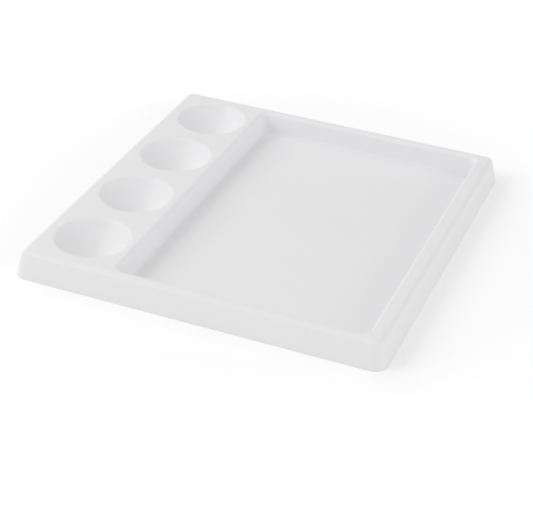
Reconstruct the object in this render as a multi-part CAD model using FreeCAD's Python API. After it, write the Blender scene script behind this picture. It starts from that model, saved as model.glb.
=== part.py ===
"""A mixing palette for paint, moulded in one piece: a shallow tray, nearly square, with a row of round wells
beside a large flat mixing area. It is a thin shell, open underneath, that stands on the foot of its sloping skirt.

Millimetres, +Z up. The origin is the centre of the footprint, on the surface that the palette stands on.
The wells lie along -X, and the front is -Y. Every outline is given where its walls would meet with no rounding.
"""

import FreeCAD
import Part

import math
import os

# Overall size
WIDTH = 190.0  # footprint along X
LENGTH = 206.0  # footprint along Y
HEIGHT = 13.5
WALL = 1.6  # thickness of the moulding
FOOT_CORNER = 7.0  # plan radius of the footprint's corners
SKIRT_DRAFT = math.radians(15.0)  # how far the skirt leans in

# Mixing area
POOL_LEFT = 52.0  # from the footprint's edge to the mixing area's, on the side that holds the wells
POOL_RIGHT = 11.5
POOL_ENDS = 9.0
POOL_CORNER = 4.2  # plan radius of its corners, at the top
POOL_FLOOR = 2.0  # height of its floor
POOL_DRAFT = math.radians(6.0)

# Wells, each the cap of a ball
WELL_COUNT = 4
WELL_PITCH = 48.5
WELL_INSET = 28.9  # from the footprint's edge to the wells' centres
WELL_RADIUS = 18.5  # of the opening
WELL_DEPTH = 10.5

# Rounding of the upper side's edges: the underside's are smaller or larger by the wall's thickness
SHOULDER_ROUND = 2.8  # skirt to top
LIP_ROUND = 2.3  # top to mixing area
COVE_ROUND = 2.0  # mixing area's wall to its floor
BRIM_ROUND = 2.7  # top to well

# Marks that the mould leaves on the underside of the mixing area
GATE_DISH = 4.0  # radius of the dish around the gate
GATE_STUB = 1.1  # radius of the stub in it
EJECTOR = 3.0  # radius of each ejector pin's mark
MARK_DEPTH = 0.25
EJECTOR_COLUMNS = (-32.0, 32.0)  # X and Y of the pins, from the middle of the mixing area
EJECTOR_ROWS = (-66.0, 0.0, 66.0)

OVERLAP = 1.0  # how far a cutting tool runs past the face that it opens
NEAR = 0.01  # two heights closer than this are the same
OUTLINE_EDGES = 8  # a rounded rectangle has four sides and four corners
UP = FreeCAD.Vector(0, 0, 1)


def rounded_outline(low_x, low_y, high_x, high_y, radius, z):
    """A level, closed wire: a rectangle with round corners."""
    turn = radius * (1 - math.sqrt(0.5))

    def at(x, y):
        return FreeCAD.Vector(x, y, z)

    corners = (
        (at(high_x - radius, low_y), at(high_x - turn, low_y + turn), at(high_x, low_y + radius)),
        (at(high_x, high_y - radius), at(high_x - turn, high_y - turn), at(high_x - radius, high_y)),
        (at(low_x + radius, high_y), at(low_x + turn, high_y - turn), at(low_x, high_y - radius)),
        (at(low_x, low_y + radius), at(low_x + turn, low_y + turn), at(low_x + radius, low_y)),
    )
    edges = []
    for n, (start, middle, end) in enumerate(corners):
        edges.append(Part.Arc(start, middle, end).toShape())
        edges.append(Part.makeLine(end, corners[(n + 1) % len(corners)][0]))
    return Part.Wire(edges)


def leaning_block(box, radius, low_z, high_z, lean):
    """A solid whose plan is a rounded rectangle that grows by lean for each millimetre of height."""
    low_x, low_y, high_x, high_y = box
    grow = lean * (high_z - low_z)
    foot = rounded_outline(low_x, low_y, high_x, high_y, radius, low_z)
    head = rounded_outline(low_x - grow, low_y - grow, high_x + grow, high_y + grow, radius + grow, high_z)
    return Part.makeLoft([foot, head], True, True)


def edges_at(shape, z):
    """The edges of a shape that lie level at height z."""
    return [e for e in shape.Edges if abs(e.BoundBox.ZMin - z) < NEAR and abs(e.BoundBox.ZMax - z) < NEAR]


def body_block(depth):
    """The solid inside the skirt and the top, or what is left of it at a depth below its surface."""
    sideways = depth / math.cos(SKIRT_DRAFT)
    half_x = WIDTH / 2 - sideways
    half_y = LENGTH / 2 - sideways
    top_z = HEIGHT - depth
    box = (-half_x, -half_y, half_x, half_y)
    block = leaning_block(box, FOOT_CORNER - sideways, 0.0, top_z, -math.tan(SKIRT_DRAFT))
    return block.makeFillet(SHOULDER_ROUND - depth, edges_at(block, top_z))


def pool_block(depth):
    """The space of the mixing area, grown by depth, with its cove."""
    lean = math.tan(POOL_DRAFT)
    floor_z = POOL_FLOOR - depth
    grow = depth / math.cos(POOL_DRAFT) - (HEIGHT - floor_z) * lean
    box = (
        POOL_LEFT - WIDTH / 2 - grow,
        POOL_ENDS - LENGTH / 2 - grow,
        WIDTH / 2 - POOL_RIGHT + grow,
        LENGTH / 2 - POOL_ENDS + grow,
    )
    block = leaning_block(box, POOL_CORNER + grow, floor_z, HEIGHT - depth + OVERLAP, lean)
    return block.makeFillet(COVE_ROUND + depth, edges_at(block, floor_z))


def well_centres():
    """Where the wells stand on the plan."""
    x = WELL_INSET - WIDTH / 2
    first_y = -WELL_PITCH * (WELL_COUNT - 1) / 2
    return [FreeCAD.Vector(x, first_y + n * WELL_PITCH, 0) for n in range(WELL_COUNT)]


def well_ball(centre, depth):
    """The ball whose cap is a well, grown by depth."""
    radius = (WELL_RADIUS**2 + WELL_DEPTH**2) / (2 * WELL_DEPTH)
    return Part.makeSphere(radius + depth, centre + UP * (HEIGHT - WELL_DEPTH + radius))


def level_face(shape, z):
    """The face of a shape that lies level at height z."""
    faces = [f for f in shape.Faces if abs(f.BoundBox.ZMin - z) < NEAR and abs(f.BoundBox.ZMax - z) < NEAR]
    return max(faces, key=lambda f: f.Area)


def opening_edges(shape, z, most_edges):
    """The edges around those openings of a shape's level face that have no more than so many edges."""
    face = level_face(shape, z)
    openings = [w for w in face.Wires if not w.isSame(face.OuterWire) and len(w.Edges) <= most_edges]
    return [e for w in openings for e in w.Edges]


def solid_below(depth):
    """The solid under the palette's upper surface, or under that surface moved down and in by depth."""
    top_z = HEIGHT - depth
    form = body_block(depth).cut(pool_block(depth))
    form = form.makeFillet(LIP_ROUND - depth, opening_edges(form, top_z, OUTLINE_EDGES))
    for centre in well_centres():
        form = form.cut(well_ball(centre, depth))
    return form.makeFillet(BRIM_ROUND - depth, opening_edges(form, top_z, 1))


def gate_mark(x, y, z):
    """The ring-shaped dish around the stub where the plastic entered the mould, to cut from a face at z."""
    base = FreeCAD.Vector(x, y, z)
    return Part.makeCylinder(GATE_DISH, MARK_DEPTH, base).cut(Part.makeCylinder(GATE_STUB, MARK_DEPTH, base))


def mould_marks():
    """The gate's dish and the ejector pins' marks, to cut from the underside of the mixing area's floor."""
    z = POOL_FLOOR - WALL
    middle_x = (POOL_LEFT - POOL_RIGHT) / 2
    marks = [gate_mark(middle_x, 0, z)]
    for x in EJECTOR_COLUMNS:
        for y in EJECTOR_ROWS:
            marks.append(Part.makeCylinder(EJECTOR, MARK_DEPTH, FreeCAD.Vector(middle_x + x, y, z)))
    return Part.makeCompound(marks)


def palette_tray():
    """The whole moulding: one wall's thickness under the upper surface."""
    return solid_below(0).cut(solid_below(WALL)).cut(mould_marks())


def main():
    os.makedirs("parts", exist_ok=True)
    tray = palette_tray()
    print("valid", tray.isValid(), "solids", len(tray.Solids), "volume cm3", round(tray.Volume / 1000, 2))
    tray.exportStep("parts/palette_tray.step")


main()
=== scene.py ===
"""The looks of a mixing palette: its moulded tray, the plastic it is made of, and a plain studio around it.

Metres, +Z up, in the same frame as the CAD model: the origin is the centre of the footprint, the wells lie
along -X and the front is -Y.
"""

import math

import bpy
from bpy.props import BoolProperty, FloatProperty, FloatVectorProperty, IntProperty, PointerProperty
from mathutils import Matrix, Vector


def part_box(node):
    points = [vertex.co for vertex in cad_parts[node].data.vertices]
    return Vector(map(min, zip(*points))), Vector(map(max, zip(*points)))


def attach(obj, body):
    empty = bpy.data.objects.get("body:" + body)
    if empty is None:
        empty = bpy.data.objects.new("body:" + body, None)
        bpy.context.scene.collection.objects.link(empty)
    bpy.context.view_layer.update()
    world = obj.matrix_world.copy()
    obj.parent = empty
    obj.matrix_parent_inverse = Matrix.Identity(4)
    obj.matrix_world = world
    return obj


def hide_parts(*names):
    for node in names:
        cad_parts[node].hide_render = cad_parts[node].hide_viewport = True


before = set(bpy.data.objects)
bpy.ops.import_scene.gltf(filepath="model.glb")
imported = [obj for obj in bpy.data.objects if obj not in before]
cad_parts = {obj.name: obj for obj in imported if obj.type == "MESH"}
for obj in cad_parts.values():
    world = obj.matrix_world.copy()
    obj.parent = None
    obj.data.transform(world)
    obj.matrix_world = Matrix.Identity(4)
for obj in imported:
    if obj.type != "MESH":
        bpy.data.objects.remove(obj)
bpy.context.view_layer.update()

bl_info = {
    "name": "Mixing Palette",
    "version": (1, 0, 0),
    "blender": (4, 5, 0),
    "location": "View3D > Sidebar > Palette",
    "description": "Builds a moulded paint palette and a plain studio to show it in",
    "category": "Object",
}

MM = 0.001
NODE = "palette_tray"
TRAY_LOW, TRAY_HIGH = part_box(NODE)
TRAY_SIZE = TRAY_HIGH - TRAY_LOW
WELD = 1e-6  # corners closer than this are one corner
LEVEL = 1e-5  # an edge closer than this to a height is at that height


# Sizes and colours that a user would change


def size(name, description, default, **limits):
    """A length in metres, for a property group."""
    limits = {"min": 0.0, "precision": 5, "unit": "LENGTH", **limits}
    return FloatProperty(name=name, description=description, default=default, **limits)


def lean(name, description, degrees):
    """An angle, for a property group, given in degrees and held in radians."""
    return FloatProperty(name=name, description=description, default=math.radians(degrees), subtype="ANGLE")


def share(name, description, default, most=1.0):
    """A plain number from nought up, for a property group."""
    return FloatProperty(name=name, description=description, default=default, min=0.0, max=most, precision=4)


def colour(name, description, default):
    """A colour with no alpha, for a property group."""
    limits = {"min": 0.0, "max": 1.0, "subtype": "COLOR"}
    return FloatVectorProperty(name=name, description=description, default=default, **limits)


def watts(place, default):
    """A softbox's power in watts, for a property group."""
    name = f"{place} Light"
    description = f"Power of the softbox that stands at: {place.lower()}"
    return FloatProperty(name=name, description=description, default=default, min=0.0, unit="POWER")


def count(name, description, default, least=1):
    """A whole number, for a property group."""
    return IntProperty(name=name, description=description, default=default, min=least)


class TrayShape(bpy.types.PropertyGroup):
    """Sizes of the moulding. An outline's size is where its walls would meet with no rounding."""

    width: size("Width", "Footprint across the tray, along X", TRAY_SIZE.x)
    length: size("Length", "Footprint along the row of wells, along Y", TRAY_SIZE.y)
    height: size("Height", "From the table to the top", TRAY_SIZE.z)
    wall: size("Wall", "Thickness of the moulding", 1.6 * MM)
    foot_corner: size("Foot Corner", "Plan radius of the footprint's corners", 7.0 * MM)
    skirt_draft: lean("Skirt Draft", "How far the skirt leans in", 15.0)
    pool_left: size("Mixing Area Left", "Footprint's edge to the mixing area, on the wells' side", 52.0 * MM)
    pool_right: size("Mixing Area Right", "The same, on the other side", 11.5 * MM)
    pool_ends: size("Mixing Area Ends", "The same, at the front and the back", 9.0 * MM)
    pool_corner: size("Mixing Area Corner", "Plan radius of the mixing area's corners", 4.2 * MM)
    pool_floor: size("Mixing Area Floor", "Height of the mixing area's floor", 2.0 * MM)
    pool_draft: lean("Mixing Area Draft", "How far the mixing area's walls lean out", 6.0)
    well_count: count("Wells", "Number of wells in the row", 4)
    well_pitch: size("Well Pitch", "Centre to centre of two wells", 48.5 * MM)
    well_inset: size("Well Inset", "Footprint's edge to the wells' centres", 28.9 * MM)
    well_radius: size("Well Radius", "Radius of a well's opening", 18.5 * MM)
    well_depth: size("Well Depth", "From the top to the bottom of a well", 10.5 * MM)
    shoulder: size("Shoulder", "Rounding from the skirt to the top", 2.8 * MM)
    lip: size("Lip", "Rounding from the top to the mixing area's wall", 2.3 * MM)
    cove: size("Cove", "Rounding from the mixing area's wall to its floor", 2.0 * MM)
    brim: size("Brim", "Rounding from the top to a well", 2.7 * MM)
    foot: size("Foot", "Rounding of both edges of the skirt's foot", 0.2 * MM)


class MouldMarks(bpy.types.PropertyGroup):
    """Marks that the mould leaves on the underside of the mixing area's floor."""

    depth: size("Mark Depth", "How deep the marks are", 0.25 * MM)
    soft: size("Mark Rounding", "Rounding of the marks' edges", 0.06 * MM)
    dish: size("Gate Dish", "Radius of the dish around the gate", 4.0 * MM)
    stub: size("Gate Stub", "Radius of the stub in the dish", 1.1 * MM)
    pin: size("Ejector Pin", "Radius of an ejector pin's mark", 3.0 * MM)
    pin_x: size("Pin Offset X", "From the middle of the mixing area to a column of pins", 32.0 * MM)
    pin_y: size("Pin Offset Y", "From the middle of the mixing area to a row of pins", 66.0 * MM)


class Fineness(bpy.types.PropertyGroup):
    """How many faces the curved stretches get."""

    corner: count("Corner Steps", "Faces around an outline's corner", 14, least=2)
    side: count("Side Steps", "Faces along an outline's side", 10)
    fillet: count("Rounding Steps", "Faces across a rounded edge", 10, least=2)
    bowl: count("Well Steps", "Faces from a well's brim to its bottom", 28, least=2)
    turn: count("Turn Steps", "Faces in a quarter turn of a well", 32, least=2)


class PlasticFinish(bpy.types.PropertyGroup):
    """The plastic's colour and surface."""

    tint: colour("Colour", "Colour of the plastic", (0.90, 0.897, 0.909))
    cloud: share("Clouding", "How much the colour drifts from place to place", 0.012)
    cloud_size: size("Cloud Size", "Size of the colour's drifts", 38.0 * MM)
    glow: share("Translucency", "Share of the light that passes into the plastic", 0.2)
    glow_depth: size("Light Depth", "How far light travels inside the plastic", 1.2 * MM)
    roughness: share("Roughness", "Average roughness of the surface", 0.46)
    patchiness: share("Roughness Drift", "How much the roughness drifts from place to place", 0.07)
    patch_size: size("Patch Size", "Size of the roughness's drifts", 16.0 * MM)
    grain: size("Grain Size", "Size of the mould's fine texture", 0.45 * MM)
    grain_relief: size("Grain Relief", "Height of the mould's fine texture", 0.0035 * MM)
    ripple: size("Ripple Size", "Size of the slow unevenness of the surface", 9.0 * MM)
    ripple_relief: size("Ripple Relief", "Height of the slow unevenness", 0.012 * MM)
    scratch: size("Scratch Width", "Width of the finest handling marks", 0.12 * MM)
    scratch_share: share("Scratches", "How much the handling marks change the roughness", 0.05)


class Studio(bpy.types.PropertyGroup):
    """The floor, the lights and the camera."""

    floor_reach: size("Floor Radius", "Radius of the floor", 6.0)
    floor_tint: colour("Floor Colour", "Colour of the floor", (0.97, 0.97, 0.97))
    floor_lift: share("Floor Lift", "How much brighter the floor shows than it lights the tray", 0.127, 10.0)
    fade_start: size("Fade Start", "Where the floor starts to fade to white, from the middle", 0.13)
    fade_end: size("Fade End", "Where the floor has faded to white, from the middle", 1.2)
    light_side: size("Softbox Size", "Side of each softbox", 1.5)
    light_away: size("Softbox Distance", "From the tray to each softbox", 2.4)
    left_front: watts("Left Front", 15.9)
    left_back: watts("Left Back", 8.6)
    right: watts("Right", 7.8)
    right_front: watts("Right Front", 6.1)
    ambient: share("Ambient Light", "Strength of the light from all round", 0.56, 10.0)
    view_azimuth: lean("View Azimuth", "Where the camera stands, anticlockwise from the front", 20.27)
    view_elevation: lean("View Elevation", "How high the camera stands", 31.57)
    view_roll: lean("View Roll", "How far the camera is turned about its line of sight", 2.92)
    view_distance: size("View Distance", "From the camera to its aim", 0.7584)
    aim_x: size("Aim X", "Where the camera looks on the table, along X", 10.6 * MM, min=-1.0)
    aim_y: size("Aim Y", "Where the camera looks on the table, along Y", -33.5 * MM, min=-1.0)
    lens: FloatProperty(name="Lens", description="Focal length in millimetres", default=102.3, min=1.0)
    show_backdrop: BoolProperty(name="White Backdrop", description="White behind the floor", default=True)


# Node trees, written as sums


class Wire:
    """One output of a node. Sums and products of wires add the nodes that work them out."""

    def __init__(self, tree, socket):
        self.tree = tree
        self.socket = socket

    def calc(self, operation, *others):
        """A math node that starts from this wire."""
        node = add(self.tree, "ShaderNodeMath", {0: self, **dict(enumerate(others, 1))}, operation=operation)
        return Wire(self.tree, node.outputs[0])

    def __add__(self, other):
        return self.calc("ADD", other)

    def __sub__(self, other):
        return self.calc("SUBTRACT", other)

    def __mul__(self, other):
        return self.calc("MULTIPLY", other)

    def __truediv__(self, other):
        return self.calc("DIVIDE", other)

    def __neg__(self):
        return self.calc("MULTIPLY", -1.0)

    def __floordiv__(self, other):
        """Whole number division."""
        return ((self + 0.5) / other).calc("FLOOR")

    def __mod__(self, other):
        """What is left of a whole number after division by another."""
        return self - (self // other) * other


def feed(node, inputs):
    """Sets a node's inputs, by name or number, to values, wires, or lists of wires that join one input."""
    for key, value in inputs.items():
        wires = value if isinstance(value, list) else [value]
        if isinstance(wires[0], Wire):
            for one in wires:
                one.tree.links.new(one.socket, node.inputs[key])
        else:
            node.inputs[key].default_value = value


NODE_COLUMNS = 12  # how many nodes lie side by side in the editor
NODE_WIDTH = 200
NODE_HEIGHT = 260


def add(tree, kind, inputs=None, **settings):
    """Adds a node, sets its properties and feeds its inputs."""
    node = tree.nodes.new(kind)
    row, column = divmod(len(tree.nodes) - 1, NODE_COLUMNS)
    node.location = (NODE_WIDTH * column, -NODE_HEIGHT * row)
    for name, value in settings.items():
        setattr(node, name, value)
    feed(node, inputs or {})
    return node


def wire(tree, kind, inputs=None, out=0, **settings):
    """Adds a node in the same way and gives one of its outputs as a wire."""
    return Wire(tree, add(tree, kind, inputs, **settings).outputs[out])


def start_group(name, kind, inputs, outputs):
    """A new node group. Gives it, its inputs as wires by name, and a function that feeds its outputs."""
    tree = bpy.data.node_groups.new(name, kind)
    for label, socket_type, *default in inputs:
        socket = tree.interface.new_socket(name=label, in_out="INPUT", socket_type=socket_type)
        if default:
            socket.default_value = default[0]
    for label, socket_type in outputs:
        tree.interface.new_socket(name=label, in_out="OUTPUT", socket_type=socket_type)
    entry = add(tree, "NodeGroupInput")
    given = {socket.name: Wire(tree, socket) for socket in entry.outputs if socket.name}

    def finish(results):
        add(tree, "NodeGroupOutput", results)

    return tree, given, finish


GEOMETRY = "NodeSocketGeometry"
NUMBER = "NodeSocketFloat"
COUNT = "NodeSocketInt"
PLACE = "NodeSocketVector"


def vector(tree, x=0.0, y=0.0, z=0.0):
    """A wire that carries a vector."""
    return wire(tree, "ShaderNodeCombineXYZ", {"X": x, "Y": y, "Z": z})


def by_index(tree, kind, values):
    """A field that takes the first value on the first point, the second on the next, and so on."""
    index = wire(tree, "GeometryNodeInputIndex")
    node = add(tree, "GeometryNodeIndexSwitch", {"Index": index}, data_type=kind)
    while len(node.index_switch_items) < len(values):
        node.index_switch_items.new()
    feed(node, dict(enumerate(values, 1)))
    return Wire(tree, node.outputs[0])


def bent_profile_group():
    """A section with four corners, of which the middle two are rounded. X is the inset and Z the height."""
    corners = ("Start", "First Bend", "Second Bend", "End")
    tree, given, finish = start_group(
        "Bent Profile",
        "GeometryNodeTree",
        [
            *[(label, PLACE) for label in corners],
            ("First Radius", NUMBER, 0.001),
            ("Second Radius", NUMBER, 0.001),
            ("Steps", COUNT, 8),
        ],
        [("Profile", GEOMETRY)],
    )
    place = by_index(tree, "VECTOR", [given[label] for label in corners])
    radius = by_index(tree, "FLOAT", [0.0, given["First Radius"], given["Second Radius"], 0.0])
    points = wire(tree, "GeometryNodePoints", {"Count": len(corners), "Position": place})
    curve = wire(tree, "GeometryNodePointsToCurves", {"Points": points})
    bends = {"Curve": curve, "Radius": radius, "Count": given["Steps"]}
    finish({"Profile": wire(tree, "GeometryNodeFilletCurve", bends, mode="POLY")})
    return tree


def well_profile_group():
    """A well's section, from just outside its brim to the middle of its bottom. X is minus the radius."""
    tree, given, finish = start_group(
        "Well Profile",
        "GeometryNodeTree",
        [
            ("Radius", NUMBER, 0.02),
            ("Depth", NUMBER, 0.01),
            ("Brim", NUMBER, 0.002),
            ("Top", NUMBER, 0.01),
            ("Below", NUMBER, 0.0),
            ("Margin", NUMBER, 0.0001),
            ("Brim Steps", COUNT, 8),
            ("Bowl Steps", COUNT, 24),
        ],
        [("Profile", GEOMETRY)],
    )
    radius, depth, brim, below = (given[k] for k in ("Radius", "Depth", "Brim", "Below"))
    ball = (radius * radius + depth * depth) / (depth * 2.0)
    ball_z = given["Top"] - depth + ball
    reach = ball + brim
    drop = ball - depth + brim  # from the middle of the ball down to the middle of the brim circle
    brim_x = (reach * reach - drop * drop).calc("SQRT")
    slope = (brim_x / reach).calc("ARCSINE")
    step = wire(tree, "GeometryNodeInputIndex") - 1.0
    brim_share = (step / given["Brim Steps"]).calc("MINIMUM", 1.0).calc("MAXIMUM", 0.0)
    bowl_share = ((step - given["Brim Steps"]) / given["Bowl Steps"]).calc("MAXIMUM", 0.0)
    brim_turn = slope * brim_share
    bowl_turn = slope * (-bowl_share + 1.0)
    brim_line = vector(
        tree,
        x=(brim - below) * brim_turn.calc("SINE") - brim_x,
        z=given["Top"] - brim + (brim - below) * brim_turn.calc("COSINE"),
    )
    bowl_line = vector(
        tree,
        x=-((ball + below) * bowl_turn.calc("SINE")),
        z=ball_z - (ball + below) * bowl_turn.calc("COSINE"),
    )
    in_bowl = step.calc("GREATER_THAN", given["Brim Steps"])
    choice = {"Switch": in_bowl, "False": brim_line, "True": bowl_line}
    line = wire(tree, "GeometryNodeSwitch", choice, input_type="VECTOR")
    outside = vector(tree, x=-(brim_x + given["Margin"]), z=given["Top"] - below)
    first = step.calc("LESS_THAN", 0.0)
    choice = {"Switch": first, "False": line, "True": outside}
    place = wire(tree, "GeometryNodeSwitch", choice, input_type="VECTOR")
    count = given["Brim Steps"] + given["Bowl Steps"] + 2.0
    points = wire(tree, "GeometryNodePoints", {"Count": count, "Position": place})
    finish({"Profile": wire(tree, "GeometryNodePointsToCurves", {"Points": points})})
    return tree


def ring_group():
    """A section carried round a rounded rectangle, or round a circle where the half sides are nought."""
    tree, given, finish = start_group(
        "Ring",
        "GeometryNodeTree",
        [
            ("Profile", GEOMETRY),
            ("Half Width", NUMBER, 0.0),
            ("Half Length", NUMBER, 0.0),
            ("Corner Radius", NUMBER, 0.0),
            ("Corner Steps", COUNT, 8),
            ("Side Steps", COUNT, 0),
        ],
        [("Mesh", GEOMETRY)],
    )
    profile, radius = given["Profile"], given["Corner Radius"]
    rows = wire(tree, "GeometryNodeAttributeDomainSize", {"Geometry": profile}, component="CURVE")
    sector = given["Corner Steps"] + given["Side Steps"]
    grid = wire(tree, "GeometryNodeMeshGrid", {"Vertices X": sector * 4.0 + 1.0, "Vertices Y": rows})
    index = wire(tree, "GeometryNodeInputIndex")
    column, row = index // rows, index % rows
    quarter, step = column // sector, column % sector
    round_share = (step / given["Corner Steps"]).calc("MINIMUM", 1.0)
    side_share = ((step - given["Corner Steps"]) / given["Side Steps"]).calc("MAXIMUM", 0.0)
    angle = (quarter + round_share) * (math.pi / 2)

    def corner(number, function, half):
        """One coordinate of the middle of a corner's arc."""
        return ((number + 0.5) * (math.pi / 2)).calc(function).calc("SIGN") * (half - radius)

    here = wire(
        tree,
        "GeometryNodeSampleIndex",
        {"Geometry": profile, "Value": wire(tree, "GeometryNodeInputPosition"), "Index": row},
        data_type="FLOAT_VECTOR",
    )
    split = add(tree, "ShaderNodeSeparateXYZ", {0: here})
    reach = radius - Wire(tree, split.outputs["X"])
    spot = {}
    for axis, function, label in (("x", "COSINE", "Half Width"), ("y", "SINE", "Half Length")):
        start = corner(quarter, function, given[label])
        end = corner(quarter + 1.0, function, given[label])
        spot[axis] = start + (end - start) * side_share + reach * angle.calc(function)
    place = vector(tree, z=Wire(tree, split.outputs["Z"]), **spot)
    bent = wire(tree, "GeometryNodeSetPosition", {"Geometry": grid, "Position": place})
    finish({"Mesh": wire(tree, "GeometryNodeMergeByDistance", {"Geometry": bent, "Distance": WELD})})
    return tree


# The shape's settings, as the inputs of a node group: their names and kinds
SHAPE_INPUTS = [
    ("Width", NUMBER),
    ("Length", NUMBER),
    ("Height", NUMBER),
    ("Wall", NUMBER),
    ("Foot Corner", NUMBER),
    ("Skirt Draft", NUMBER),
    ("Mixing Area Left", NUMBER),
    ("Mixing Area Right", NUMBER),
    ("Mixing Area Ends", NUMBER),
    ("Mixing Area Corner", NUMBER),
    ("Mixing Area Floor", NUMBER),
    ("Mixing Area Draft", NUMBER),
    ("Wells", COUNT),
    ("Well Pitch", NUMBER),
    ("Well Inset", NUMBER),
    ("Well Radius", NUMBER),
    ("Well Depth", NUMBER),
    ("Shoulder", NUMBER),
    ("Lip", NUMBER),
    ("Cove", NUMBER),
    ("Brim", NUMBER),
    ("Foot", NUMBER),
    ("Corner Steps", COUNT),
    ("Side Steps", COUNT),
    ("Rounding Steps", COUNT),
    ("Well Steps", COUNT),
    ("Turn Steps", COUNT),
]
MARGIN = 0.1 * MM  # a level strip beside each rounding, so that its shading ends there


def use_group(tree, group, inputs):
    """A node that holds one of the geometry groups. Gives its first output as a wire."""
    return wire(tree, "GeometryNodeGroup", inputs, node_tree=group)


def tangent_share(leaning):
    """How far from a right-angled bend its rounding starts, for each unit of radius, on a wall that leans."""
    return ((-leaning + math.pi / 2) * 0.5).calc("TANGENT")


def pool_middle(tree, given, z=0.0):
    """The middle of the mixing area on the plan, at a height."""
    return vector(tree, x=(given["Mixing Area Left"] - given["Mixing Area Right"]) * 0.5, z=z)


def skirt_ring(tree, given, groups):
    """The skirt, from the middle of its foot, over the shoulder and onto the top."""
    below, leaning = given["Below"], given["Skirt Draft"]
    slant = leaning.calc("TANGENT")
    foot_x = below / leaning.calc("COSINE")
    top_z = given["Height"] - below
    shoulder = given["Shoulder"] - below
    shoulder_x = foot_x + top_z * slant
    profile = use_group(
        tree,
        groups["bent"],
        {
            "Start": vector(tree, x=given["Wall"] * 0.5 / leaning.calc("COSINE")),
            "First Bend": vector(tree, x=foot_x),
            "Second Bend": vector(tree, x=shoulder_x, z=top_z),
            "End": vector(tree, x=shoulder_x + shoulder * tangent_share(leaning) + MARGIN, z=top_z),
            "First Radius": given["Foot"],
            "Second Radius": shoulder,
            "Steps": given["Rounding Steps"],
        },
    )
    sizes = {
        "Profile": profile,
        "Half Width": given["Width"] * 0.5,
        "Half Length": given["Length"] * 0.5,
        "Corner Radius": given["Foot Corner"],
        "Corner Steps": given["Corner Steps"],
        "Side Steps": given["Side Steps"],
    }
    return use_group(tree, groups["ring"], sizes)


def pool_ring(tree, given, groups):
    """The mixing area's wall, from the top, over the lip and the cove onto the floor."""
    below, leaning = given["Below"], given["Mixing Area Draft"]
    slant = leaning.calc("TANGENT")
    sideways = below / leaning.calc("COSINE")
    top_z = given["Height"] - below
    floor_z = given["Mixing Area Floor"] - below
    lip = given["Lip"] - below
    cove = given["Cove"] + below
    lip_x = (given["Height"] - top_z) * slant - sideways
    cove_x = (given["Height"] - floor_z) * slant - sideways
    reach = tangent_share(leaning)
    profile = use_group(
        tree,
        groups["bent"],
        {
            "Start": vector(tree, x=lip_x - lip * reach - MARGIN, z=top_z),
            "First Bend": vector(tree, x=lip_x, z=top_z),
            "Second Bend": vector(tree, x=cove_x, z=floor_z),
            "End": vector(tree, x=cove_x + cove * reach + MARGIN, z=floor_z),
            "First Radius": lip,
            "Second Radius": cove,
            "Steps": given["Rounding Steps"],
        },
    )
    left, right = given["Mixing Area Left"], given["Mixing Area Right"]
    sizes = {
        "Profile": profile,
        "Half Width": (given["Width"] - left - right) * 0.5,
        "Half Length": given["Length"] * 0.5 - given["Mixing Area Ends"],
        "Corner Radius": given["Mixing Area Corner"],
        "Corner Steps": given["Corner Steps"],
        "Side Steps": given["Side Steps"],
    }
    ring = use_group(tree, groups["ring"], sizes)
    return wire(tree, "GeometryNodeTransform", {"Geometry": ring, "Translation": pool_middle(tree, given)})


def well_row(tree, given, groups):
    """The row of wells: one bowl, repeated along the strip."""
    profile = use_group(
        tree,
        groups["well"],
        {
            "Radius": given["Well Radius"],
            "Depth": given["Well Depth"],
            "Brim": given["Brim"],
            "Top": given["Height"],
            "Below": given["Below"],
            "Margin": MARGIN,
            "Brim Steps": given["Rounding Steps"],
            "Bowl Steps": given["Well Steps"],
        },
    )
    turn = {"Profile": profile, "Corner Steps": given["Turn Steps"], "Side Steps": 0}
    bowl = use_group(tree, groups["ring"], turn)
    row = wire(
        tree,
        "GeometryNodeMeshLine",
        {
            "Count": given["Wells"],
            "Start Location": vector(
                tree,
                x=given["Well Inset"] - given["Width"] * 0.5,
                y=given["Well Pitch"] * (given["Wells"] - 1.0) * -0.5,
            ),
            "Offset": vector(tree, y=given["Well Pitch"]),
        },
    )
    bowls = wire(tree, "GeometryNodeInstanceOnPoints", {"Points": row, "Instance": bowl})
    return wire(tree, "GeometryNodeRealizeInstances", {"Geometry": bowls})


def fill_level(tree, mesh, level):
    """A level sheet that closes a mesh's open edges at one height, with holes where they ask for them."""
    faces = wire(tree, "GeometryNodeInputMeshEdgeNeighbors")
    edge = faces.calc("LESS_THAN", 1.5)  # an open edge has one face
    split = add(tree, "ShaderNodeSeparateXYZ", {0: wire(tree, "GeometryNodeInputPosition")})
    off_level = (Wire(tree, split.outputs["Z"]) - level).calc("ABSOLUTE")
    on_level = off_level.calc("LESS_THAN", LEVEL)
    outline = wire(tree, "GeometryNodeMeshToCurve", {"Mesh": mesh, "Selection": edge * on_level})
    sheet = wire(tree, "GeometryNodeFillCurve", {"Curve": outline})
    return wire(tree, "GeometryNodeSetPosition", {"Geometry": sheet, "Offset": vector(tree, z=level)})


def surface_group(groups):
    """The palette's upper surface, or the same moved down and in by Below, with marks in its floor."""
    tree, given, finish = start_group(
        "Palette Surface",
        "GeometryNodeTree",
        [*SHAPE_INPUTS, ("Below", NUMBER, 0.0), ("Marks", GEOMETRY)],
        [("Mesh", GEOMETRY)],
    )
    rings = [make(tree, given, groups) for make in (skirt_ring, pool_ring, well_row)]
    walls = wire(tree, "GeometryNodeJoinGeometry", {"Geometry": [given["Marks"], *rings]})
    top = fill_level(tree, walls, given["Height"] - given["Below"])
    floor = fill_level(tree, walls, given["Mixing Area Floor"] - given["Below"])
    whole = wire(tree, "GeometryNodeJoinGeometry", {"Geometry": [floor, top, walls]})
    finish({"Mesh": wire(tree, "GeometryNodeMergeByDistance", {"Geometry": whole, "Distance": WELD})})
    return tree


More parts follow.
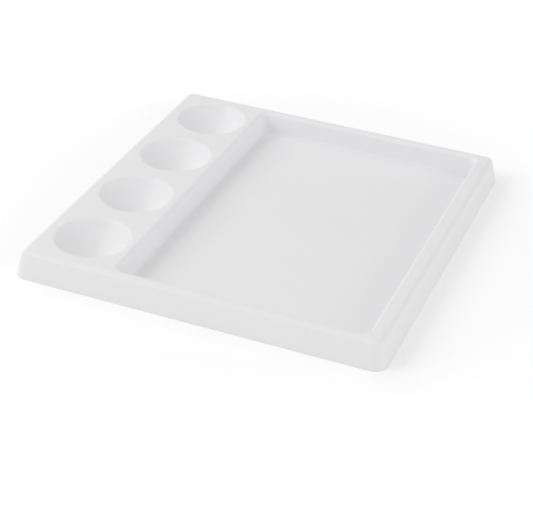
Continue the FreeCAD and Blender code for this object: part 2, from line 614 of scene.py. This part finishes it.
# The mould marks' settings, in the same way
MARK_INPUTS = [
    ("Mark Depth", NUMBER),
    ("Mark Rounding", NUMBER),
    ("Gate Dish", NUMBER),
    ("Gate Stub", NUMBER),
    ("Ejector Pin", NUMBER),
    ("Pin Offset X", NUMBER),
    ("Pin Offset Y", NUMBER),
]
MARK_BEND_STEPS = 3  # faces across the rounding of a mark's edge
MARK_TURN_STEPS = 12  # faces in a quarter turn of a mark


def round_mark(tree, given, groups, outside, wall, inside, heights):
    """A level ring, a round wall and a level ring again: three radii, and the heights of the two levels."""
    high, low = heights
    profile = use_group(
        tree,
        groups["bent"],
        {
            "Start": vector(tree, x=-outside, z=high),
            "First Bend": vector(tree, x=-wall, z=high),
            "Second Bend": vector(tree, x=-wall, z=low),
            "End": vector(tree, x=-inside, z=low),
            "First Radius": given["Mark Rounding"],
            "Second Radius": given["Mark Rounding"],
            "Steps": MARK_BEND_STEPS,
        },
    )
    turn = {"Profile": profile, "Corner Steps": MARK_TURN_STEPS, "Side Steps": 0}
    return use_group(tree, groups["ring"], turn)


def marks_group(groups):
    """The gate's dish with its stub, and the ejector pins' marks around it."""
    inputs = [("Mixing Area Left", NUMBER), ("Mixing Area Right", NUMBER), ("Face", NUMBER), *MARK_INPUTS]
    tree, given, finish = start_group("Mould Marks", "GeometryNodeTree", inputs, [("Mesh", GEOMETRY)])
    depth, dish_radius, stub_radius = (given[k] for k in ("Mark Depth", "Gate Dish", "Gate Stub"))
    edge = given["Mark Rounding"] * 2.0
    trough = (dish_radius + stub_radius) * 0.5
    pin_radius = given["Ejector Pin"]
    pin = round_mark(tree, given, groups, pin_radius + edge, pin_radius, 0.0, (0.0, depth))
    dish = round_mark(tree, given, groups, dish_radius + edge, dish_radius, trough, (0.0, depth))
    stub = round_mark(tree, given, groups, trough, stub_radius, 0.0, (depth, 0.0))
    spots = [
        vector(tree, x=given["Pin Offset X"] * side, y=given["Pin Offset Y"] * end)
        for side in (-1.0, 1.0)
        for end in (-1.0, 0.0, 1.0)
    ]
    places = by_index(tree, "VECTOR", spots)
    points = wire(tree, "GeometryNodePoints", {"Count": len(spots), "Position": places})
    pins = wire(tree, "GeometryNodeInstanceOnPoints", {"Points": points, "Instance": pin})
    pins = wire(tree, "GeometryNodeRealizeInstances", {"Geometry": pins})
    joined = wire(tree, "GeometryNodeJoinGeometry", {"Geometry": [stub, dish, pins]})
    middle = pool_middle(tree, given, given["Face"])
    finish({"Mesh": wire(tree, "GeometryNodeTransform", {"Geometry": joined, "Translation": middle})})
    return tree


def palette_group(groups):
    """The whole moulding: its upper surface, its underside one wall below, and the foot that joins them."""
    inputs = SHAPE_INPUTS + MARK_INPUTS + [("Material", "NodeSocketMaterial")]
    tree, given, finish = start_group("Mixing Palette", "GeometryNodeTree", inputs, [("Geometry", GEOMETRY)])
    shape = {label: given[label] for label, _ in SHAPE_INPUTS}
    sides = {label: given[label] for label in ("Mixing Area Left", "Mixing Area Right")}
    marks = {label: given[label] for label, _ in MARK_INPUTS}
    face = given["Mixing Area Floor"] - given["Wall"]
    cut = use_group(tree, groups["marks"], {**sides, **marks, "Face": face})
    upper = use_group(tree, groups["surface"], {**shape, "Below": 0.0})
    under = use_group(tree, groups["surface"], {**shape, "Below": given["Wall"], "Marks": cut})
    under = wire(tree, "GeometryNodeFlipFaces", {"Mesh": under})
    both = wire(tree, "GeometryNodeJoinGeometry", {"Geometry": [under, upper]})
    welded = wire(tree, "GeometryNodeMergeByDistance", {"Geometry": both, "Distance": WELD})
    smooth = wire(tree, "GeometryNodeSetShadeSmooth", {"Geometry": welded, "Shade Smooth": True})
    real = wire(tree, "GeometryNodeRealizeInstances", {"Geometry": smooth})
    plastic = {"Geometry": real, "Material": given["Material"]}
    finish({"Geometry": wire(tree, "GeometryNodeSetMaterial", plastic)})
    return tree


def palette_tree():
    """The moulding's node tree, with the smaller trees that it is made of."""
    groups = {"bent": bent_profile_group(), "well": well_profile_group(), "ring": ring_group()}
    groups["surface"] = surface_group(groups)
    groups["marks"] = marks_group(groups)
    return palette_group(groups)


def settings_by_label(*property_groups):
    """What a node tree's named inputs are set to: every property's value under the property's own name."""
    values = {}
    for group in property_groups:
        for prop in group.bl_rna.properties:
            if prop.identifier not in ("rna_type", "name"):
                values[prop.name] = getattr(group, prop.identifier)
    return values


def grow(name, tree, values):
    """A plain mesh object made by a geometry node tree whose inputs are set from values, by name."""
    maker = bpy.data.objects.new(name + "_maker", bpy.data.meshes.new(name + "_maker"))
    bpy.context.scene.collection.objects.link(maker)
    modifier = maker.modifiers.new("Make", "NODES")
    modifier.node_group = tree
    for item in tree.interface.items_tree:
        if item.item_type == "SOCKET" and item.in_out == "INPUT":
            modifier[item.identifier] = values[item.name]
    graph = bpy.context.evaluated_depsgraph_get()
    mesh = bpy.data.meshes.new_from_object(maker.evaluated_get(graph), depsgraph=graph)
    mesh.name = name
    bpy.data.meshes.remove(maker.data)
    piece = bpy.data.objects.new(name, mesh)
    bpy.context.scene.collection.objects.link(piece)
    return piece


# Materials


def start_material(name):
    """A new material. Gives it, its tree, its Principled BSDF and a wire with Object coordinates."""
    material = bpy.data.materials.new(name)
    material.use_nodes = True
    tree = material.node_tree
    tree.nodes.clear()
    shader = add(tree, "ShaderNodeBsdfPrincipled")
    add(tree, "ShaderNodeOutputMaterial", {"Surface": Wire(tree, shader.outputs["BSDF"])})
    return material, tree, shader, wire(tree, "ShaderNodeTexCoord", out="Object")


SMALLEST = 1e-6  # a pattern's features are no smaller than this
SCRATCH_ONSET = 0.72  # noise above this is a scratch
SCRATCH_EDGE = 12.0  # how steeply a scratch sets in
SCRATCH_SKEW = 0.2  # how far the two directions are from mirror images, in radians


def drift_group():
    """A slow or fine change from place to place. Drift is about nought, and Height lies between 0 and 1."""
    tree, given, finish = start_group(
        "Drift",
        "ShaderNodeTree",
        [
            ("Vector", PLACE),
            ("Feature Size", NUMBER, 0.01),
            ("Fineness", NUMBER, 2.0),
            ("Amount", NUMBER, 1.0),
        ],
        [("Height", NUMBER), ("Drift", NUMBER)],
    )
    scale = given["Feature Size"].calc("MAXIMUM", SMALLEST).calc("POWER", -1.0)
    pattern = {"Vector": given["Vector"], "Scale": scale, "Detail": given["Fineness"]}
    noise = wire(tree, "ShaderNodeTexNoise", pattern)
    finish({"Height": noise, "Drift": (noise - 0.5) * given["Amount"]})
    return tree


def scratch_group():
    """Fine straight marks in two directions. Mask is 1 in a scratch and 0 beside it."""
    tree, given, finish = start_group(
        "Handling Marks",
        "ShaderNodeTree",
        [
            ("Vector", PLACE),
            ("Width", NUMBER, 0.0001),
            ("Stretch", NUMBER, 60.0),
            ("Turn", NUMBER, 0.6),
        ],
        [("Mask", NUMBER)],
    )
    along = (given["Width"] * given["Stretch"]).calc("POWER", -1.0)
    across = given["Width"].calc("POWER", -1.0)
    squeeze = vector(tree, x=along, y=across, z=across)
    masks = []
    for turn in (given["Turn"], -given["Turn"] + SCRATCH_SKEW):
        place = {"Vector": given["Vector"], "Angle": turn}
        turned = wire(tree, "ShaderNodeVectorRotate", place, rotation_type="Z_AXIS")
        squeezed = wire(tree, "ShaderNodeVectorMath", {0: turned, 1: squeeze}, operation="MULTIPLY")
        noise = wire(tree, "ShaderNodeTexNoise", {"Vector": squeezed, "Scale": 1.0, "Detail": 0.0})
        masks.append(((noise - SCRATCH_ONSET) * SCRATCH_EDGE).calc("MAXIMUM", 0.0).calc("MINIMUM", 1.0))
    finish({"Mask": masks[0].calc("MAXIMUM", masks[1])})
    return tree


def shade_group(tree, group, inputs):
    """A node that holds one of the shader groups. Gives a function from an output's name to its wire."""
    node = add(tree, "ShaderNodeGroup", inputs, node_tree=group)
    return lambda name: Wire(tree, node.outputs[name])


def tinted(tree, tint, drift):
    """A colour made a little lighter or darker by a drift about nought."""
    bright = drift + 1.0
    grey = wire(tree, "ShaderNodeCombineColor", {"Red": bright, "Green": bright, "Blue": bright})
    node = add(tree, "ShaderNodeMix", {"Factor": 1.0}, data_type="RGBA", blend_type="MULTIPLY")
    first, second = [socket for socket in node.inputs if socket.type == "RGBA"]
    first.default_value = (*tint, 1.0)
    tree.links.new(grey.socket, second)
    return Wire(tree, next(socket for socket in node.outputs if socket.type == "RGBA"))


def relief(tree, layers):
    """One normal from several heights, the slowest first: pairs of a height and its relief in metres."""
    normal = None
    for height, metres in layers:
        bump = {"Height": height, "Distance": metres, "Strength": 1.0}
        if normal is not None:
            bump["Normal"] = normal
        normal = wire(tree, "ShaderNodeBump", bump)
    return normal


PLASTIC_IOR = 1.49
GLOW_COLOUR = (1.0, 0.96, 0.98)  # how far each colour travels in the plastic, as a share of the light depth


def white_plastic(finish, groups):
    """Satin white plastic that lets a little light in, with the mould's grain and a slight unevenness."""
    material, tree, shader, place = start_material("white_plastic")

    def drift(feature, fineness, amount=1.0):
        """A drift over the plastic. Gives a function from the output's name to its wire."""
        values = {"Vector": place, "Feature Size": feature, "Fineness": fineness, "Amount": amount}
        return shade_group(tree, groups["drift"], values)

    cloud = drift(finish.cloud_size, 3.0, finish.cloud * 2.0)
    patch = drift(finish.patch_size, 5.0, finish.patchiness * 2.0)
    ripple = drift(finish.ripple, 1.0)
    grain = drift(finish.grain, 2.0)
    marks = shade_group(tree, groups["scratch"], {"Vector": place, "Width": finish.scratch})
    layers = [(ripple("Height"), finish.ripple_relief), (grain("Height"), finish.grain_relief)]
    values = {
        "Base Color": tinted(tree, finish.tint, cloud("Drift")),
        "Roughness": patch("Drift") + marks("Mask") * finish.scratch_share + finish.roughness,
        "Normal": relief(tree, layers),
        "IOR": PLASTIC_IOR,
        "Subsurface Weight": finish.glow,
        "Subsurface Radius": GLOW_COLOUR,
        "Subsurface Scale": finish.glow_depth,
    }
    feed(shader, values)
    return material


FLOOR_FIBRE = 0.8 * MM  # size of the paper's fibres
FLOOR_RELIEF = 0.01 * MM  # their height
FLOOR_ROUGHNESS = 0.9
FLOOR_GLOSS = 0.1


def floor_sheet(studio, groups):
    """A plain matte white sheet. It shows a little brighter than it lights the tray, and white far off."""
    material, tree, shader, place = start_material("studio_floor")
    fibres = {"Vector": place, "Feature Size": FLOOR_FIBRE, "Fineness": 3.0}
    fibre = shade_group(tree, groups["drift"], fibres)
    values = {
        "Base Color": (*studio.floor_tint, 1.0),
        "Roughness": FLOOR_ROUGHNESS,
        "Specular IOR Level": FLOOR_GLOSS,
        "Normal": relief(tree, [(fibre("Height"), FLOOR_RELIEF)]),
    }
    feed(shader, values)
    seen = wire(tree, "ShaderNodeLightPath", out="Is Camera Ray")
    fade = {
        "Value": wire(tree, "ShaderNodeVectorMath", {0: place}, out="Value", operation="LENGTH"),
        "From Min": studio.fade_start,
        "From Max": studio.fade_end,
        "To Min": studio.floor_lift,
    }
    lift = wire(tree, "ShaderNodeEmission", {"Strength": wire(tree, "ShaderNodeMapRange", fade) * seen})
    both = wire(tree, "ShaderNodeAddShader", {0: Wire(tree, shader.outputs["BSDF"]), 1: lift})
    feed(tree.get_output_node("ALL"), {"Surface": both})
    return material


def shader_groups():
    """The shader groups that the materials share, made once."""
    made = {}
    for key, label, maker in (("drift", "Drift", drift_group), ("scratch", "Handling Marks", scratch_group)):
        made[key] = bpy.data.node_groups.get(label) or maker()
    return made


# Operators


class PALETTE_OT_mould_tray(bpy.types.Operator):
    """Mould the tray: the skirt, the top with its wells, the mixing area and the underside, in one piece"""

    bl_idname = "palette.mould_tray"
    bl_label = "Mould the Tray"
    bl_options = {"REGISTER", "UNDO"}

    def execute(self, context):
        scene = context.scene
        values = settings_by_label(scene.palette_shape, scene.palette_marks, scene.palette_fineness)
        values["Material"] = white_plastic(scene.palette_plastic, shader_groups())
        tray = grow("moulded_tray", palette_tree(), values)
        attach(tray, "root")
        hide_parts(NODE)
        return {"FINISHED"}


FLOOR_SIDES = 96


def floor_disc(studio):
    """A flat round floor, on which the tray stands."""
    mesh = bpy.data.meshes.new("floor")
    reach = studio.floor_reach
    turns = [math.tau * n / FLOOR_SIDES for n in range(FLOOR_SIDES)]
    corners = [(reach * math.cos(turn), reach * math.sin(turn), TRAY_LOW.z) for turn in turns]
    mesh.from_pydata(corners, [], [range(FLOOR_SIDES)])
    floor = bpy.data.objects.new("floor", mesh)
    bpy.context.scene.collection.objects.link(floor)
    return floor


def toward(azimuth, elevation):
    """The direction that has an azimuth, anticlockwise from +X, and an elevation."""
    level = math.cos(elevation)
    return Vector((level * math.cos(azimuth), level * math.sin(azimuth), math.sin(elevation)))


# Every softbox's power setting, its azimuth anticlockwise from +X and its elevation, in degrees
SOFTBOXES = (("left_front", 210, 35), ("left_back", 150, 35), ("right", 0, 18), ("right_front", 330, 35))


def softboxes(studio):
    """Large square lights that face the tray."""
    for name, azimuth, elevation in SOFTBOXES:
        light = bpy.data.lights.new(name + "_light", "AREA")
        light.shape = "SQUARE"
        light.size = studio.light_side
        light.energy = getattr(studio, name)
        lamp = bpy.data.objects.new(light.name, light)
        bpy.context.scene.collection.objects.link(lamp)
        out = toward(math.radians(azimuth), math.radians(elevation))
        lamp.location = out * studio.light_away
        lamp.rotation_mode = "QUATERNION"
        lamp.rotation_quaternion = (-out).to_track_quat("-Z", "Y")


def light_from_all_round(studio):
    """A white world, which can show plain white behind the floor whatever its strength."""
    world = bpy.data.worlds.new("studio")
    world.use_nodes = True
    tree = world.node_tree
    tree.nodes.clear()
    light = wire(tree, "ShaderNodeBackground", {"Color": (1, 1, 1, 1), "Strength": studio.ambient})
    behind = wire(tree, "ShaderNodeBackground", {"Color": (1, 1, 1, 1), "Strength": 1.0})
    seen = wire(tree, "ShaderNodeLightPath", out="Is Camera Ray") * float(studio.show_backdrop)
    mixed = wire(tree, "ShaderNodeMixShader", {0: seen, 1: light, 2: behind})
    add(tree, "ShaderNodeOutputWorld", {"Surface": mixed})
    bpy.context.scene.world = world


SENSOR_WIDTH = 36.0  # millimetres
NEAREST = 0.01  # how near and how far the camera sees
FURTHEST = 50.0


def set_camera(studio):
    """The camera, turned about its line of sight as well as aimed."""
    data = bpy.data.cameras.new("camera")
    data.sensor_width = SENSOR_WIDTH
    data.lens = studio.lens
    data.clip_start = NEAREST
    data.clip_end = FURTHEST
    camera = bpy.data.objects.new("camera", data)
    bpy.context.scene.collection.objects.link(camera)
    out = toward(studio.view_azimuth - math.pi / 2, studio.view_elevation)
    turn = (-out).to_track_quat("-Z", "Y").to_matrix() @ Matrix.Rotation(studio.view_roll, 3, "Z")
    spot = Vector((studio.aim_x, studio.aim_y, TRAY_LOW.z)) + out * studio.view_distance
    camera.matrix_world = Matrix.Translation(spot) @ turn.to_4x4()
    bpy.context.scene.camera = camera


class PALETTE_OT_set_stage(bpy.types.Operator):
    """Set the stage: a plain pale floor, soft light from all round and most from the left, and the camera"""

    bl_idname = "palette.set_stage"
    bl_label = "Set the Stage"
    bl_options = {"REGISTER", "UNDO"}

    def execute(self, context):
        studio = context.scene.palette_studio
        floor = floor_disc(studio)
        floor.data.materials.append(floor_sheet(studio, shader_groups()))
        softboxes(studio)
        light_from_all_round(studio)
        set_camera(studio)
        context.scene.view_settings.view_transform = "Standard"
        return {"FINISHED"}


# The panel's boxes: a group of settings, and the operators below it
PANEL_ROWS = (
    ("palette_shape", ()),
    ("palette_marks", ()),
    ("palette_fineness", ()),
    ("palette_plastic", ("palette.mould_tray",)),
    ("palette_studio", ("palette.set_stage",)),
)


class PALETTE_PT_sidebar(bpy.types.Panel):
    """The palette's sizes, finish and studio, with the buttons that build them"""

    bl_idname = "PALETTE_PT_sidebar"
    bl_label = "Mixing Palette"
    bl_space_type = "VIEW_3D"
    bl_region_type = "UI"
    bl_category = "Palette"

    def draw(self, context):
        scene = context.scene
        for group, operators in PANEL_ROWS:
            box = self.layout.box()
            settings = getattr(scene, group)
            for prop in settings.bl_rna.properties:
                if prop.identifier not in ("rna_type", "name"):
                    box.prop(settings, prop.identifier)
            for operator in operators:
                box.operator(operator)


SETTINGS = {
    "palette_shape": TrayShape,
    "palette_marks": MouldMarks,
    "palette_fineness": Fineness,
    "palette_plastic": PlasticFinish,
    "palette_studio": Studio,
}
CLASSES = (*SETTINGS.values(), PALETTE_OT_mould_tray, PALETTE_OT_set_stage, PALETTE_PT_sidebar)


def register():
    for cls in CLASSES:
        bpy.utils.register_class(cls)
    for name, cls in SETTINGS.items():
        setattr(bpy.types.Scene, name, PointerProperty(type=cls))


def unregister():
    for name in SETTINGS:
        delattr(bpy.types.Scene, name)
    for cls in reversed(CLASSES):
        bpy.utils.unregister_class(cls)


def main():
    register()
    bpy.ops.palette.mould_tray()
    bpy.ops.palette.set_stage()


if __name__ == "__main__":
    main()
